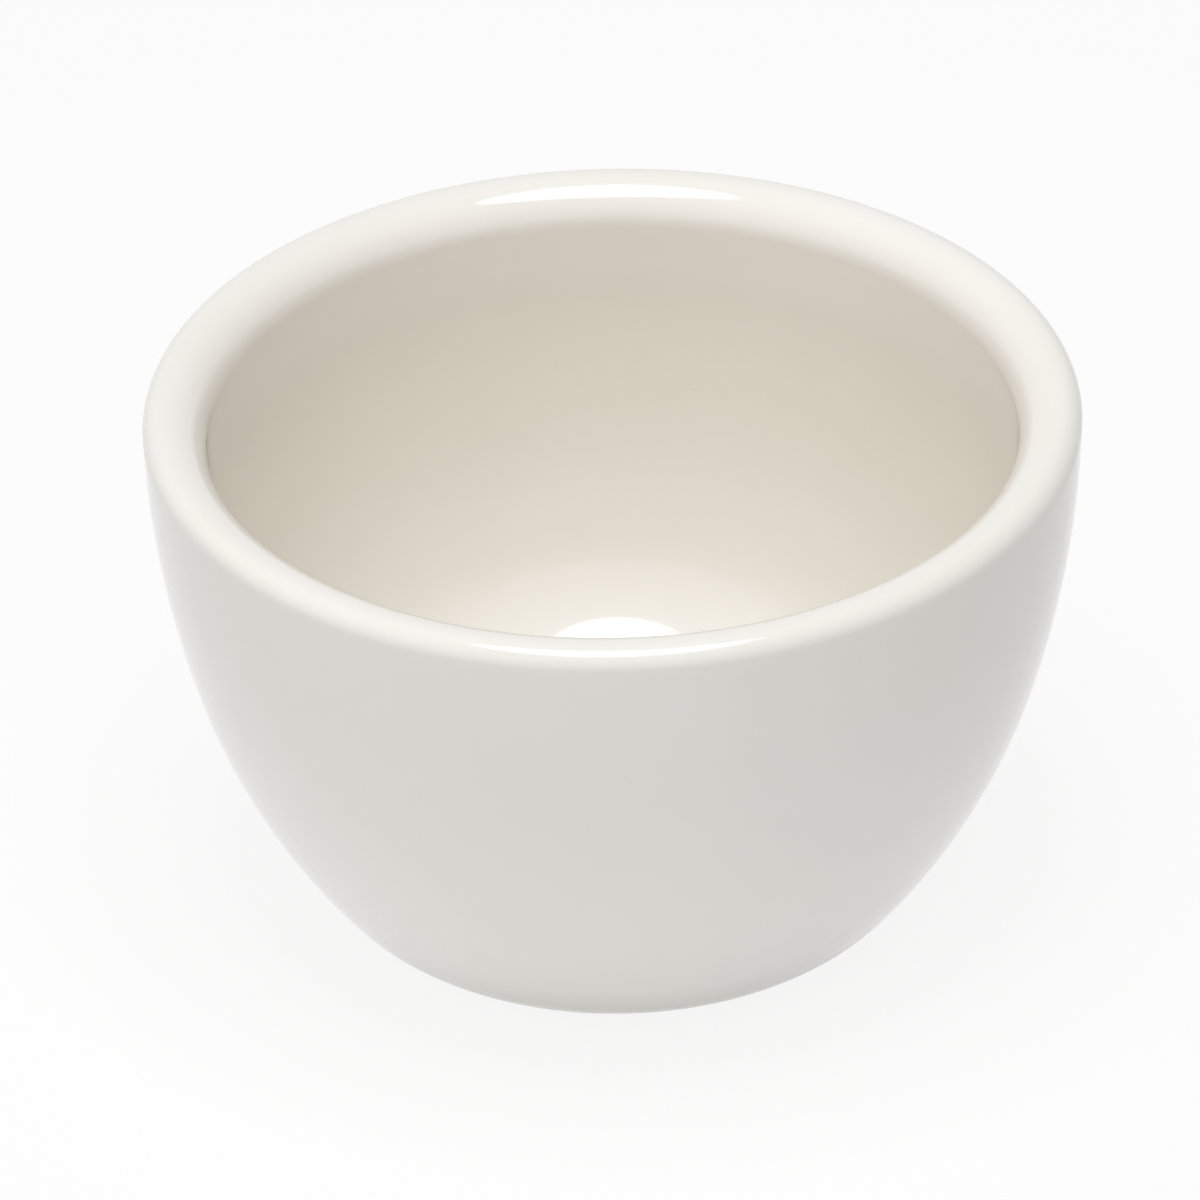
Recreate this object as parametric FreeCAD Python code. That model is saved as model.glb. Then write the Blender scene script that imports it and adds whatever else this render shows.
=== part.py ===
import FreeCAD
import Part
import math
import os

# Mortar bowl in glazed porcelain: one turned piece with a rounded lip, two-arc outer wall,
# dished, round-cornered cavity and a low foot ring with a shallow recess inside it.
# Millimetres, +Z up. The origin is the centre of the circle that the foot stands on.

# Overall sizes
RIM_DIAMETER = 100.0       # widest outside diameter, at the lip
HEIGHT = 61.5              # table to the crest of the lip

# Lip
LIP_THICKNESS = 6.7        # wall thickness just below the lip
LIP_OUTER_RADIUS = 2.0     # rounding on the outside of the lip
CREST_WIDTH = 0.2          # level ring along the top, between the two roundings

# Outer wall, with slopes in degrees from the vertical
RIM_SLOPE = 1.0            # where the wall leaves the lip
BELLY_SLOPE = 37.1         # where the wall runs into the belly rounding
BELLY_RADIUS = 10.5        # rounding that turns the wall under the bowl

# Foot
FOOT_DIAMETER = 44.0       # outside of the foot ring
FOOT_HEIGHT = 1.5          # how far the ring stands below the belly
FOOT_WIDTH = 4.0           # radial width of the ring
FOOT_FILLET = 0.8          # hollow corner between the ring and the underside
FOOT_EDGE = 0.4            # rounding on both edges of the face that touches the table
LEDGE_WIDTH = 2.0          # level ring of underside between the foot's fillet and the belly
RECESS_DEPTH = 2.5         # table to the underside inside the ring
RECESS_FILLET = 1.2        # hollow corner between the ring and that underside

# Cavity
FLOOR_THICKNESS = 6.0      # at the axis, between the cavity and the recess
DISH_RADIUS = 90.0         # shallow sphere that the cavity's floor is part of
DISH_DIAMETER = 39.0       # where the dished floor meets the corner
CORNER_RADIUS = 20.0       # rounding between the dished floor and the wall
CORNER_SLOPE = 24.0        # degrees from the vertical, where the wall leaves the corner
CAVITY_SLOPE = 2.5         # degrees from the vertical, where the wall meets the lip

AXIS = FreeCAD.Vector(0, 0, 1)
CENTRE = FreeCAD.Vector(0, 0, 0)


def point(radius, height):
    return FreeCAD.Vector(radius, 0, height)


def heading(angle):
    """Unit vector in the profile plane, in degrees anticlockwise from the outward radial."""
    return point(math.cos(math.radians(angle)), math.sin(math.radians(angle)))


def tangent_arc(start, direction, end):
    """Arc that leaves start along direction and reaches end, and its direction there."""
    chord = end - start
    cross = direction.x * chord.z - direction.z * chord.x
    half_turn = math.atan2(cross, direction.dot(chord))
    outside = point(chord.z, -chord.x)
    middle = start + chord * 0.5 + outside * (0.5 * math.tan(half_turn / 2))
    across = point(-direction.z, direction.x)
    arrival = direction * math.cos(2 * half_turn) + across * math.sin(2 * half_turn)
    return Part.Arc(start, middle, end).toShape(), arrival


def tangent_pair(start, leaving, end, arriving):
    """Two arcs that meet smoothly and hold the direction asked for at each end."""
    span = end - start
    both = leaving + arriving
    spread = 2 * (1 - leaving.dot(arriving))
    along = span.dot(both)
    reach = (math.sqrt(along ** 2 + spread * span.dot(span)) - along) / spread
    joint = (start + end + (leaving - arriving) * reach) * 0.5
    first, direction = tangent_arc(start, leaving, joint)
    second, _ = tangent_arc(joint, direction, end)
    return [first, second]


def rounding(centre, radius, start_angle, end_angle):
    """Arc about centre, between two angles from the outward radial."""
    ends = [centre + heading(angle) * radius for angle in (start_angle, end_angle)]
    middle = centre + heading((start_angle + end_angle) / 2) * radius
    return Part.Arc(ends[0], middle, ends[1]).toShape()


def start_of(edge):
    return edge.valueAt(edge.FirstParameter)


def end_of(edge):
    return edge.valueAt(edge.LastParameter)


def lip():
    """From the cavity, over the crest, to the outer wall."""
    rim_radius = RIM_DIAMETER / 2
    inner_radius = LIP_THICKNESS - LIP_OUTER_RADIUS - CREST_WIDTH
    inner_centre = point(rim_radius - LIP_THICKNESS + inner_radius, HEIGHT - inner_radius)
    outer_centre = point(rim_radius - LIP_OUTER_RADIUS, HEIGHT - LIP_OUTER_RADIUS)
    inner = rounding(inner_centre, inner_radius, 180 + CAVITY_SLOPE, 90)
    outer = rounding(outer_centre, LIP_OUTER_RADIUS, 90, -RIM_SLOPE)
    return [inner, Part.makeLine(end_of(inner), start_of(outer)), outer]


def cavity(lip_start):
    """From the axis, over the dished floor and round the corner, up the wall to the lip."""
    floor_height = RECESS_DEPTH + FLOOR_THICKNESS
    tilt = math.degrees(math.asin(DISH_DIAMETER / 2 / DISH_RADIUS))
    dish_centre = point(0, floor_height + DISH_RADIUS)
    corner_centre = dish_centre + heading(tilt - 90) * (DISH_RADIUS - CORNER_RADIUS)
    dish = rounding(dish_centre, DISH_RADIUS, -90, tilt - 90)
    corner = rounding(corner_centre, CORNER_RADIUS, tilt - 90, -CORNER_SLOPE)
    wall = tangent_pair(end_of(corner), heading(90 - CORNER_SLOPE), lip_start, heading(90 - CAVITY_SLOPE))
    return [dish, corner] + wall


def belly():
    """From the outer wall round to the level ledge beside the foot."""
    lowest_radius = FOOT_DIAMETER / 2 + FOOT_FILLET + LEDGE_WIDTH
    centre = point(lowest_radius, FOOT_HEIGHT + BELLY_RADIUS)
    return rounding(centre, BELLY_RADIUS, -BELLY_SLOPE, -90)


def foot(ledge_end):
    """From the belly, round the foot ring, to the axis under the floor."""
    outside = FOOT_DIAMETER / 2
    inside = outside - FOOT_WIDTH
    corners = [
        rounding(point(outside + FOOT_FILLET, FOOT_HEIGHT - FOOT_FILLET), FOOT_FILLET, 90, 180),
        rounding(point(outside - FOOT_EDGE, FOOT_EDGE), FOOT_EDGE, 0, -90),
        rounding(point(inside + FOOT_EDGE, FOOT_EDGE), FOOT_EDGE, 270, 180),
        rounding(point(inside - RECESS_FILLET, RECESS_DEPTH - RECESS_FILLET), RECESS_FILLET, 0, 90),
    ]
    edges = []
    reached = ledge_end
    for corner in corners:
        edges += [Part.makeLine(reached, start_of(corner)), corner]
        reached = end_of(corner)
    edges.append(Part.makeLine(reached, point(0, RECESS_DEPTH)))
    return edges


def mortar_bowl():
    """The bowl's half section, turned about the axis."""
    lip_edges = lip()
    belly_edge = belly()
    cavity_edges = cavity(start_of(lip_edges[0]))
    wall = tangent_pair(
        end_of(lip_edges[-1]), heading(-90 - RIM_SLOPE), start_of(belly_edge), heading(-90 - BELLY_SLOPE)
    )
    section = cavity_edges + lip_edges + wall + [belly_edge] + foot(end_of(belly_edge))
    section.append(Part.makeLine(end_of(section[-1]), start_of(section[0])))
    return Part.Face(Part.Wire(section)).revolve(CENTRE, AXIS, 360)


os.makedirs("parts", exist_ok=True)
bowl = mortar_bowl()
bowl.exportStep("parts/mortar_bowl.step")
print("mortar_bowl", bowl.ShapeType, "valid", bowl.isValid(), "volume", round(bowl.Volume / 1000, 1), "cm3")
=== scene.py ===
import math

import bmesh
import bpy
from mathutils import Matrix, Vector, noise


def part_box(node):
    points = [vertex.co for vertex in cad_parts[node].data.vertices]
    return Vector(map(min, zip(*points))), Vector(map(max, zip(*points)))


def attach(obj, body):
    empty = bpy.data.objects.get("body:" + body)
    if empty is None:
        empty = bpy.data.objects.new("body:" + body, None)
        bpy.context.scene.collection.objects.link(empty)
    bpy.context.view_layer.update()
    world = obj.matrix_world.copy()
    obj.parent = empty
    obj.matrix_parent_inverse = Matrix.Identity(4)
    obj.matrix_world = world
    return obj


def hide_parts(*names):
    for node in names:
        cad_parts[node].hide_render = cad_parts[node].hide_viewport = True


# The looks of a glazed porcelain mortar bowl. Metres, in the frame's own axes: +Z up, the foot on Z = 0.

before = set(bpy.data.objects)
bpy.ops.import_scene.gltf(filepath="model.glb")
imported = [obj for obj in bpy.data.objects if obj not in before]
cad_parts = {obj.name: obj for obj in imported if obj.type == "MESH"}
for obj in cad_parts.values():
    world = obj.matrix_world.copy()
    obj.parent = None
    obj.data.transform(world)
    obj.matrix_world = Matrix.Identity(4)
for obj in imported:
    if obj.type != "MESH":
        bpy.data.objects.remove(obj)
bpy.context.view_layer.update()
_, bowl_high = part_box("mortar_bowl")

# Sizes that the CAD source also drives the bowl with, except that the rim and the height come from the
# frame. Slopes are in degrees from the vertical.
MM = 0.001
RIM_RADIUS = bowl_high.y
HEIGHT = bowl_high.z
LIP_THICKNESS = 6.7 * MM
LIP_OUTER_RADIUS = 2.0 * MM
CREST_WIDTH = 0.2 * MM
LIP_INNER_RADIUS = LIP_THICKNESS - LIP_OUTER_RADIUS - CREST_WIDTH
RIM_SLOPE = 1.0
BELLY_SLOPE = 37.1
BELLY_RADIUS = 10.5 * MM
FOOT_RADIUS = 22.0 * MM
FOOT_HEIGHT = 1.5 * MM
FOOT_WIDTH = 4.0 * MM
FOOT_FILLET = 0.8 * MM
FOOT_EDGE = 0.4 * MM
LEDGE_WIDTH = 2.0 * MM
RECESS_DEPTH = 2.5 * MM
RECESS_FILLET = 1.2 * MM
FLOOR_THICKNESS = 6.0 * MM
DISH_RADIUS = 90.0 * MM
DISH_DIAMETER = 39.0 * MM
CORNER_RADIUS = 20.0 * MM
CORNER_SLOPE = 24.0
CAVITY_SLOPE = 2.5

# Mesh, with the distance between its rings on each part of the outline
TURNS = 288                # vertices round the bowl
WALL_STEP = 1.0 * MM       # walls, cavity and recess
BELLY_STEP = 0.5 * MM      # the belly's rounding, and straight stretches of the foot
LIP_STEP = 0.24 * MM
FOOT_STEP = 0.12 * MM      # roundings of the foot
WIDEST_FACET = math.radians(18)   # of turn between two rings on any rounding
SHARP = math.radians(40)   # a crease this sharp keeps its edge in the shading

# What firing does to the form. Every offset is inwards, so the bowl stays inside its CAD size.
WARP = 0.10 * MM           # how far out of round the rim is
WARP_WAVES = ((2, 0.65, 0.6), (3, 0.35, 2.1))   # each as lobes, share of the warp, and phase
RIPPLE = 0.035 * MM        # slow unevenness of the glazed walls
RIPPLE_SCALE = 28          # of its noise, per metre
RIPPLE_CONTRAST = 1.6

# The foot is wiped bare before firing, so that it doesn't stick to the kiln shelf.
BARE_HEIGHT = 0.5 * MM     # up the sides of the ring, where the glaze ends
GLAZE_EDGE = 0.1 * MM      # how far the glaze's rounded edge stands proud of the bare body
BARE_BODY = (0.82, 0.79, 0.74)
BARE_ROUGHNESS = 0.7

# Colours of the glaze. The first two are pairs that the mottling runs between.
OUTSIDE_GLAZE = ((0.850, 0.824, 0.776), (0.862, 0.838, 0.796))
# Painted shade and warm interreflection: the cavity's glaze is darker and warmer than the outside's.
CAVITY_SHADED_GLAZE = ((0.762, 0.716, 0.632), (0.780, 0.736, 0.656))
# Painted shade low on the belly, where the contact shadow near the foot falls.
BELLY_SHADE_COLOUR = (0.740, 0.700, 0.640)
SPECK = (0.55, 0.47, 0.37)

# Where each painted shade of the glaze starts and ends: heights, and for the last how far a spot belongs to
# the cavity
LIP_FADE = (49 * MM, 61 * MM)
FLOOR_FADE = (15 * MM, 38 * MM)
BELLY_SHADE_FADE = (2 * MM, 10 * MM)
BELLY_SHADE_LIMIT = (0, 0.1)

# Surface of the glaze. Each noise is a scale per metre and a number of octaves.
GLAZE_IOR = 1.52
MOTTLE_NOISE = (26, 2)
MOTTLE_LEVELS = (0.35, 0.65)       # of the noise, where each colour of a pair is pure
GLOSS_NOISE = (90, 3)
GLOSS_LEVELS = (0.3, 0.7)
GLAZE_ROUGHNESS = (0.05, 0.10)
PEEL_NOISE = (420, 2)
PEEL_STRENGTH = 0.05
PEEL_DEPTH = 0.2 * MM

# Specks, one in the middle of some cells
SPECK_CELLS = 190                  # per metre
SPECK_EDGE = (0.012, 0.028)        # in cells from the middle, from where it fades to where it ends
SPECK_STRENGTH = 0.6
SPECK_CHANCE = (0.70, 0.72)        # a cell's random number, from no speck to a whole one

# Light, as the radiance of each source, where 1 is white
AMBIENT = 0.12
GLOWS = (((0, -1, 0), 0.52), ((-1, 0, 0), 0.56), ((1, 0, 0), 0.12))   # from the front, left and right
OVERHEAD = 6.8
OVERHEAD_PLACE = (0.0, -0.11, 0.8)
OVERHEAD_WIDTH = 0.48
OVERHEAD_DEPTH = 0.50

# Floor
FLOOR_HALF = 6.0
FLOOR_COLOUR = (0.86, 0.86, 0.86)
FLOOR_ROUGHNESS = 0.9
FLOOR_GLOW = 0.88          # share of the floor's look that is plain white; the rest takes the shadow

# Camera, with angles in degrees
CAMERA_DISTANCE = 1.0      # from the centre of the lip's crest
CAMERA_ELEVATION = 31.63
CAMERA_AIM = Vector((-0.0017, 0.0, 0.03614))
CAMERA_ROLL = 1.197
CAMERA_LENS = 282.6        # millimetres, as the sensor's width
CAMERA_SENSOR = 36.0
CAMERA_NEAR = 0.01
CAMERA_FAR = 50

# Node helpers
WHITE = (1.0, 1.0, 1.0)
RISING = (0, 1)
FALLING = (1, 0)
MIX_SOCKETS = {"RGBA": (6, 7, 2), "FLOAT": (2, 3, 0)}   # first input, second input and result, by data type


# ---------------------------------------------------------------- outline of the turned section

def point(radius, height):
    return Vector((radius, height))


def heading(angle):
    """Unit vector in the section's plane, in degrees anticlockwise from the outward radial."""
    return Vector((math.cos(math.radians(angle)), math.sin(math.radians(angle))))


def arc(centre, radius, start_angle, end_angle, step):
    """Points about centre, between two angles from the outward radial."""
    turn = abs(math.radians(end_angle - start_angle))
    count = math.ceil(max(turn * radius / step, turn / WIDEST_FACET))
    angles = [start_angle + (end_angle - start_angle) * i / count for i in range(count + 1)]
    return [centre + heading(angle) * radius for angle in angles]


def straight(start, end, step):
    count = max(1, math.ceil((end - start).length / step))
    return [start.lerp(end, i / count) for i in range(count + 1)]


def joined(start, bends):
    """Points from start along the bends of the foot, with straight stretches between them."""
    points = [start]
    for centre, radius, start_angle, end_angle in bends:
        bend = arc(centre, radius, start_angle, end_angle, FOOT_STEP)
        points += straight(points[-1], bend[0], BELLY_STEP)[1:] + bend[1:]
    return points


def tangent_arc(start, direction, end, step):
    """Points of the arc that leaves start along direction and reaches end, and its direction there."""
    chord = end - start
    turn = 2 * math.atan2(direction.cross(chord), direction.dot(chord))
    across = Vector((-direction.y, direction.x))
    radius = chord.length / (2 * math.sin(turn / 2))
    centre = start + across * radius
    count = math.ceil(abs(turn * radius) / step)
    turns = [Matrix.Rotation(turn * i / count, 2) for i in range(count + 1)]
    return [centre + part @ (start - centre) for part in turns], turns[-1] @ direction


def tangent_pair(start, leaving, end, arriving, step):
    """Points of two arcs that meet smoothly and hold the direction asked for at each end."""
    span = end - start
    both = leaving + arriving
    spread = 2 * (1 - leaving.dot(arriving))
    along = span.dot(both)
    reach = (math.sqrt(along ** 2 + spread * span.dot(span)) - along) / spread
    joint = (start + end + (leaving - arriving) * reach) / 2
    first, direction = tangent_arc(start, leaving, joint, step)
    second, _ = tangent_arc(joint, direction, end, step)
    return first + second[1:]


def lip_outline():
    """From the cavity's wall, over the crest, to the outer wall."""
    inner_centre = point(RIM_RADIUS - LIP_THICKNESS + LIP_INNER_RADIUS, HEIGHT - LIP_INNER_RADIUS)
    outer_centre = point(RIM_RADIUS - LIP_OUTER_RADIUS, HEIGHT - LIP_OUTER_RADIUS)
    inner = arc(inner_centre, LIP_INNER_RADIUS, 180 + CAVITY_SLOPE, 90, LIP_STEP)
    outer = arc(outer_centre, LIP_OUTER_RADIUS, 90, -RIM_SLOPE, LIP_STEP)
    return inner + straight(inner[-1], outer[0], LIP_STEP)[1:] + outer[1:]


def lip_share(spot):
    """1 where the cavity's wall meets the lip, falling to 0 on the crest."""
    drop = (HEIGHT - spot.y) / LIP_INNER_RADIUS
    inwards = spot.x < RIM_RADIUS - LIP_OUTER_RADIUS - CREST_WIDTH
    return min(1.0, drop) if inwards else 0.0


def cavity_outline(lip_start):
    """From the axis, over the dished floor and round the corner, up the wall to the lip."""
    floor_height = RECESS_DEPTH + FLOOR_THICKNESS
    tilt = math.degrees(math.asin(DISH_DIAMETER / 2 / DISH_RADIUS))
    dish_centre = point(0, floor_height + DISH_RADIUS)
    corner_centre = dish_centre + heading(tilt - 90) * (DISH_RADIUS - CORNER_RADIUS)
    dish = arc(dish_centre, DISH_RADIUS, -90, tilt - 90, WALL_STEP)
    corner = arc(corner_centre, CORNER_RADIUS, tilt - 90, -CORNER_SLOPE, WALL_STEP)
    leaving, arriving = heading(90 - CORNER_SLOPE), heading(90 - CAVITY_SLOPE)
    wall = tangent_pair(corner[-1], leaving, lip_start, arriving, WALL_STEP)
    return dish + corner[1:] + wall[1:]


def foot_outline(ledge_end):
    """Three stretches: glazed underside and ring, bare ring, glazed recess."""
    inside = FOOT_RADIUS - FOOT_WIDTH
    bare_outside = FOOT_RADIUS - GLAZE_EDGE
    bare_inside = inside + GLAZE_EDGE
    glaze_end = BARE_HEIGHT + GLAZE_EDGE
    ring_side = joined(ledge_end, [
        (point(FOOT_RADIUS + FOOT_FILLET, FOOT_HEIGHT - FOOT_FILLET), FOOT_FILLET, 90, 180),
        (point(bare_outside, glaze_end), GLAZE_EDGE, 0, -90),
    ])
    bare_ring = joined(ring_side[-1], [
        (point(bare_outside - FOOT_EDGE, FOOT_EDGE), FOOT_EDGE, 0, -90),
        (point(bare_inside + FOOT_EDGE, FOOT_EDGE), FOOT_EDGE, 270, 180),
    ]) + [point(bare_inside, BARE_HEIGHT)]
    recess = joined(bare_ring[-1], [
        (point(bare_inside, glaze_end), GLAZE_EDGE, 270, 180),
        (point(inside - RECESS_FILLET, RECESS_DEPTH - RECESS_FILLET), RECESS_FILLET, 0, 90),
    ])
    recess += straight(recess[-1], point(0, RECESS_DEPTH), WALL_STEP)[1:]
    return ring_side, bare_ring, recess


def bowl_outline():
    """From the centre of the cavity's floor, over the lip and under the foot, to the axis again.

    Each point comes with how far it belongs to the cavity and whether the body is bare there.
    """
    lip = lip_outline()
    cavity = cavity_outline(lip[0])
    belly_centre = point(FOOT_RADIUS + FOOT_FILLET + LEDGE_WIDTH, FOOT_HEIGHT + BELLY_RADIUS)
    belly = arc(belly_centre, BELLY_RADIUS, -BELLY_SLOPE, -90, BELLY_STEP)
    leaving, arriving = heading(-90 - RIM_SLOPE), heading(-90 - BELLY_SLOPE)
    wall = tangent_pair(lip[-1], leaving, belly[0], arriving, WALL_STEP)
    ring_side, bare_ring, recess = foot_outline(belly[-1])
    outline = [(spot, 1.0, 0.0) for spot in cavity]
    outline += [(spot, lip_share(spot), 0.0) for spot in lip[1:]]
    outline += [(spot, 0.0, 0.0) for spot in wall[1:] + belly[1:] + ring_side[1:]]
    outline += [(spot, 0.0, 1.0) for spot in bare_ring[1:]]
    outline += [(spot, 0.0, 0.0) for spot in recess[1:]]
    return outline


# ---------------------------------------------------------------- the bowl's mesh

def fired(radius, height, azimuth):
    """Where a point of the perfect form ends up after firing."""
    lobes = sum(share * math.cos(count * azimuth + phase) for count, share, phase in WARP_WAVES)
    warp = WARP * (0.5 + 0.5 * lobes) * (height / HEIGHT) ** 2
    place = Vector((radius * math.cos(azimuth), radius * math.sin(azimuth), height))
    swell = noise.noise(place * RIPPLE_SCALE) * RIPPLE_CONTRAST
    ripple = RIPPLE * (0.5 + 0.5 * max(-1.0, min(1.0, swell)))
    reached = radius - (warp + ripple) * min(1.0, radius / FOOT_RADIUS)
    return Vector((reached * math.cos(azimuth), reached * math.sin(azimuth), height))


def turn(built, outline):
    """Turn the outline into a closed surface, with one vertex where each end of it meets the axis."""
    cavity_layer = built.verts.layers.float.new("cavity")
    bare_layer = built.verts.layers.float.new("bare")

    def vertex(place, in_cavity, bare):
        made = built.verts.new(place)
        made[cavity_layer] = in_cavity
        made[bare_layer] = bare
        return made

    rings = []
    for flat, in_cavity, bare in outline[1:-1]:
        places = [fired(flat.x, flat.y, math.tau * i / TURNS) for i in range(TURNS)]
        rings.append([vertex(place, in_cavity, bare) for place in places])
    for ring, next_ring in zip(rings, rings[1:]):
        for i in range(TURNS):
            j = (i + 1) % TURNS
            built.faces.new((ring[i], ring[j], next_ring[j], next_ring[i]))
    for (end, in_cavity, bare), ring in ((outline[0], rings[0]), (outline[-1], rings[-1])):
        hub = vertex((0, 0, end.y), in_cavity, bare)
        for i in range(TURNS):
            built.faces.new((hub, ring[(i + 1) % TURNS], ring[i]))


def placed(name, data):
    """A new object in the scene, from a mesh, a lamp or a camera."""
    made = bpy.data.objects.new(name, data)
    bpy.context.scene.collection.objects.link(made)
    return made


def turned_piece(name, outline):
    """The outline turned about the axis, smooth except along sharp creases."""
    built = bmesh.new()
    turn(built, outline)
    bmesh.ops.recalc_face_normals(built, faces=built.faces)
    for face in built.faces:
        face.smooth = True
    for edge in built.edges:
        edge.smooth = edge.calc_face_angle() < SHARP
    mesh = bpy.data.meshes.new(name)
    built.to_mesh(mesh)
    built.free()
    return placed(name, mesh)


# ---------------------------------------------------------------- materials

class Network:
    """The nodes of a material or of the world. A value is a number, a colour or another node's output."""

    def __init__(self, owner):
        owner.use_nodes = True
        self.nodes = owner.node_tree.nodes
        self.links = owner.node_tree.links

    def fill(self, node, inputs):
        """Give each named or numbered input of the node its value."""
        for key, value in inputs.items():
            socket = node.inputs[key]
            if isinstance(value, bpy.types.NodeSocket):
                self.links.new(value, socket)
            else:
                socket.default_value = (*value, 1) if socket.type == "RGBA" else value
        return node

    def add(self, kind, inputs=None, **settings):
        node = self.nodes.new("ShaderNode" + kind)
        for setting, choice in settings.items():
            setattr(node, setting, choice)
        return self.fill(node, inputs or {})

    def coordinates(self, kind):
        return self.add("TexCoord").outputs[kind]

    def layer(self, name):
        """A number that the mesh holds at each vertex."""
        return self.add("Attribute", attribute_name=name).outputs["Fac"]

    def noise(self, place, scale_and_detail):
        scale, detail = scale_and_detail
        return self.add("TexNoise", {"Vector": place, "Scale": scale, "Detail": detail}).outputs["Fac"]

    def mapped(self, value, levels, results):
        """The first of results up to the first of levels, running to the second at the second."""
        inputs = {"Value": value, "From Min": levels[0], "From Max": levels[1]}
        inputs.update({"To Min": results[0], "To Max": results[1]})
        return self.add("MapRange", inputs).outputs["Result"]

    def worked(self, operation, total, *others):
        """Apply the operation to the values one after another."""
        for other in others:
            total = self.add("Math", {0: total, 1: other}, operation=operation).outputs["Value"]
        return total

    def mixed(self, kind, amount, first, second):
        first_input, second_input, result = MIX_SOCKETS[kind]
        inputs = {0: amount, first_input: first, second_input: second}
        return self.add("Mix", inputs, data_type=kind).outputs[result]

    def seen_directly(self, amount):
        """amount for camera, glossy and transmission rays, 0 for the rays that carry light to the bowl."""
        path = self.add("LightPath").outputs
        kinds = ("Is Camera Ray", "Is Glossy Ray", "Is Transmission Ray")
        return self.worked("MULTIPLY", self.worked("MAXIMUM", *(path[kind] for kind in kinds)), amount)


def specks(network, place):
    """How far each spot is covered by a grain of iron in the body. Only a few cells hold one."""
    cells = network.add("TexVoronoi", {"Vector": place, "Scale": SPECK_CELLS})
    grain = network.mapped(cells.outputs["Distance"], SPECK_EDGE, (SPECK_STRENGTH, 0))
    chance = network.add("SeparateColor", {"Color": cells.outputs["Color"]}).outputs["Red"]
    return network.worked("MULTIPLY", grain, network.mapped(chance, SPECK_CHANCE, RISING))


def glaze_colour_and_shade(network, place):
    mottle = network.mapped(network.noise(place, MOTTLE_NOISE), MOTTLE_LEVELS, RISING)
    outside = network.mixed("RGBA", mottle, *OUTSIDE_GLAZE)
    inside = network.mixed("RGBA", mottle, *CAVITY_SHADED_GLAZE)
    height = network.add("SeparateXYZ", {"Vector": place}).outputs["Z"]
    in_cavity = network.layer("cavity")

    # Painted shade and interreflection: inside, the colour is darker and warmer on the cavity's wall, and
    # paler toward the lip and over the floor, where more light falls.
    below_lip = network.mapped(height, LIP_FADE, FALLING)
    above_floor = network.mapped(height, FLOOR_FADE, RISING)
    cavity_shade = network.worked("MULTIPLY", in_cavity, below_lip, above_floor)
    colour = network.mixed("RGBA", cavity_shade, outside, inside)

    # Painted shade: the colour is darker low on the belly, outside the cavity, where the contact shadow
    # near the foot falls.
    low = network.mapped(height, BELLY_SHADE_FADE, FALLING)
    belly_shade = network.worked("MULTIPLY", low, network.mapped(in_cavity, BELLY_SHADE_LIMIT, FALLING))
    colour = network.mixed("RGBA", belly_shade, colour, BELLY_SHADE_COLOUR)
    return network.mixed("RGBA", specks(network, place), colour, SPECK)


def porcelain():
    """Ivory glaze over a pale body: clear gloss, slow mottling, fine peel, and a bare matt foot."""
    material = bpy.data.materials.new("ivory_porcelain")
    network = Network(material)
    place = network.coordinates("Object")
    bare = network.layer("bare")
    gloss = network.mapped(network.noise(place, GLOSS_NOISE), GLOSS_LEVELS, GLAZE_ROUGHNESS)
    peel = network.noise(place, PEEL_NOISE)
    bump = network.add("Bump", {"Height": peel, "Strength": PEEL_STRENGTH, "Distance": PEEL_DEPTH})
    network.fill(network.nodes["Principled BSDF"], {
        "IOR": GLAZE_IOR,
        "Base Color": network.mixed("RGBA", bare, glaze_colour_and_shade(network, place), BARE_BODY),
        "Roughness": network.mixed("FLOAT", bare, gloss, BARE_ROUGHNESS),
        "Normal": bump.outputs["Normal"],
    })
    return material


def floor_material():
    """White ground. It shows nearly plain white to the camera and in gloss, and takes the bowl's shadow."""
    material = bpy.data.materials.new("pale_floor")
    network = Network(material)
    ground = network.fill(
        network.nodes["Principled BSDF"], {"Base Color": FLOOR_COLOUR, "Roughness": FLOOR_ROUGHNESS}
    )
    glow = network.add("Emission", {"Color": WHITE, "Strength": 1.0})
    mix = network.add("MixShader", {
        "Fac": network.seen_directly(FLOOR_GLOW),
        1: ground.outputs["BSDF"],
        2: glow.outputs["Emission"],
    })
    network.fill(network.nodes["Material Output"], {"Surface": mix.outputs["Shader"]})
    return material


# ---------------------------------------------------------------- stage, light and camera

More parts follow.
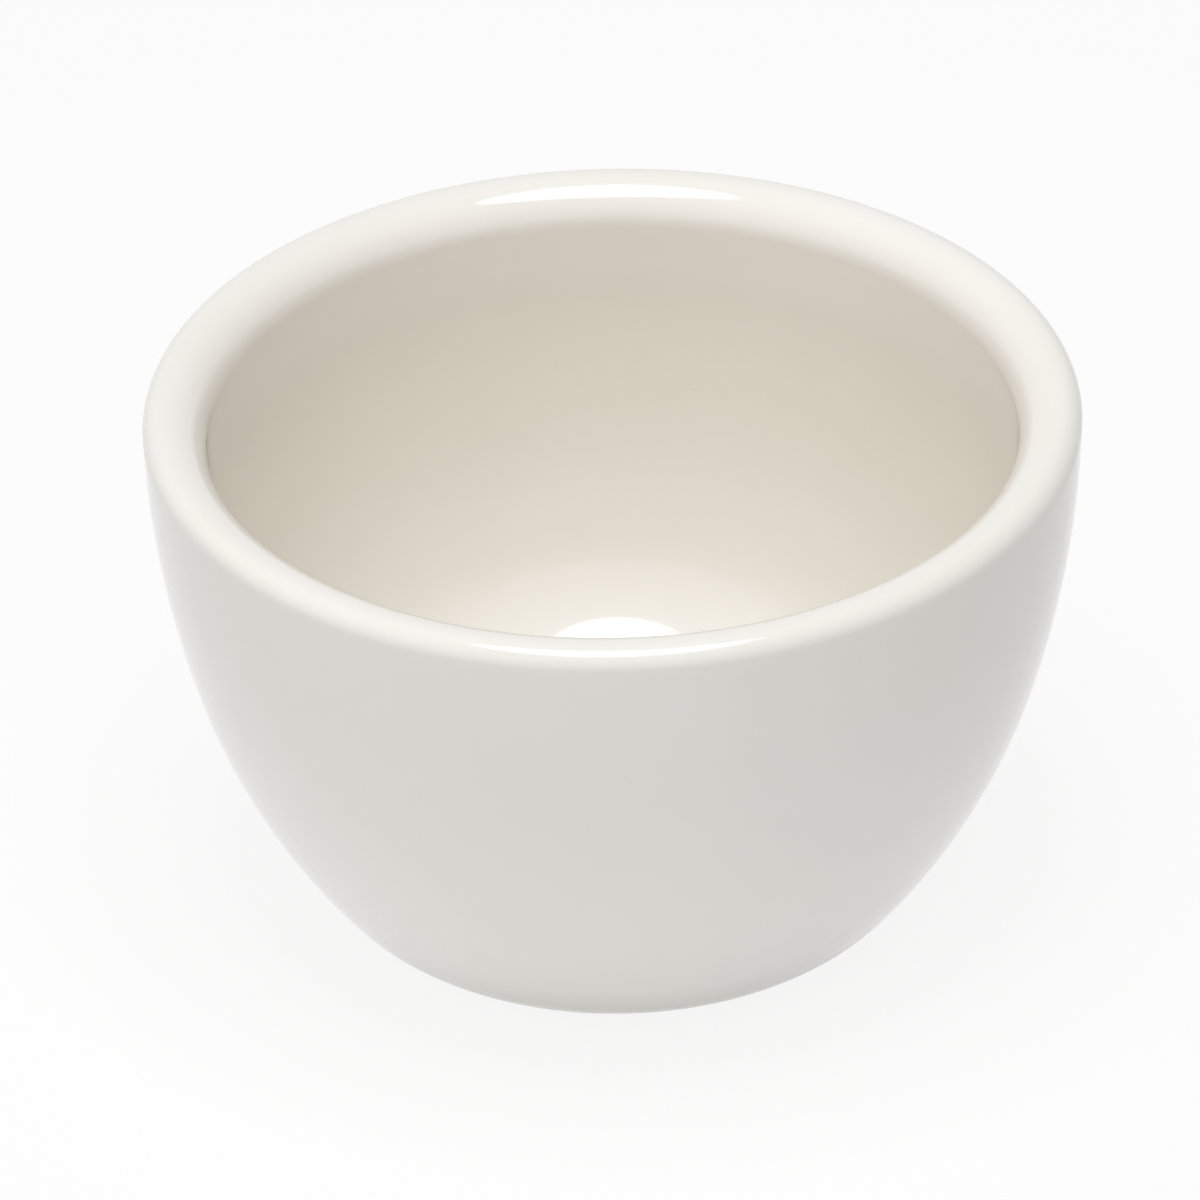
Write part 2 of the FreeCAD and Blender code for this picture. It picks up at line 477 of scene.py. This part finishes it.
def build_world():
    """Even light all round with a soft glow from each side in GLOWS, and plain white where it is seen."""
    world = bpy.data.worlds.new("studio")
    bpy.context.scene.world = world
    network = Network(world)
    outwards = network.coordinates("Generated")
    lit = AMBIENT
    for direction, strength in GLOWS:
        facing = network.add("VectorMath", {0: outwards, 1: direction}, operation="DOT_PRODUCT")
        glow = network.mapped(facing.outputs["Value"], RISING, (0, strength))
        lit = network.worked("ADD", lit, glow)
    shown = network.mixed("FLOAT", network.seen_directly(1.0), lit, 1.0)
    network.fill(network.nodes["Background"], {"Color": WHITE, "Strength": shown})


def build_floor():
    mesh = bpy.data.meshes.new("floor")
    corners = [(x * FLOOR_HALF, y * FLOOR_HALF, 0) for x, y in ((-1, -1), (1, -1), (1, 1), (-1, 1))]
    mesh.from_pydata(corners, [], [range(4)])
    mesh.materials.append(floor_material())
    placed("floor", mesh)


def build_overhead_box():
    """An oval panel above the bowl, aimed at its lip, with the same radiance all over its face."""
    light = bpy.data.lights.new("overhead_box", "AREA")
    light.shape = "ELLIPSE"
    light.size = OVERHEAD_WIDTH
    light.size_y = OVERHEAD_DEPTH
    area = math.pi / 4 * OVERHEAD_WIDTH * OVERHEAD_DEPTH
    light.energy = math.pi * OVERHEAD * area
    lamp = placed("overhead_box", light)
    lamp.location = OVERHEAD_PLACE
    downwards = Vector((0, 0, HEIGHT)) - Vector(OVERHEAD_PLACE)
    lamp.rotation_euler = downwards.to_track_quat("-Z", "Y").to_euler()
    lamp.visible_camera = False


def build_camera():
    camera = placed("camera", bpy.data.cameras.new("camera"))
    bpy.context.scene.camera = camera
    camera.data.lens = CAMERA_LENS
    camera.data.sensor_width = CAMERA_SENSOR
    camera.data.clip_start = CAMERA_NEAR
    camera.data.clip_end = CAMERA_FAR
    rise = math.radians(CAMERA_ELEVATION)
    rim_centre = Vector((0, 0, HEIGHT))
    camera.location = rim_centre + Vector((0, -math.cos(rise), math.sin(rise))) * CAMERA_DISTANCE
    facing = (CAMERA_AIM - camera.location).to_track_quat("-Z", "Y").to_matrix()
    camera.rotation_euler = (facing @ Matrix.Rotation(-math.radians(CAMERA_ROLL), 3, "Z")).to_euler()


bowl = turned_piece("bowl", bowl_outline())
bowl.data.materials.append(porcelain())
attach(bowl, "root")
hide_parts("mortar_bowl")

bpy.context.scene.view_settings.view_transform = "Standard"
build_floor()
build_world()
build_overhead_box()
build_camera()
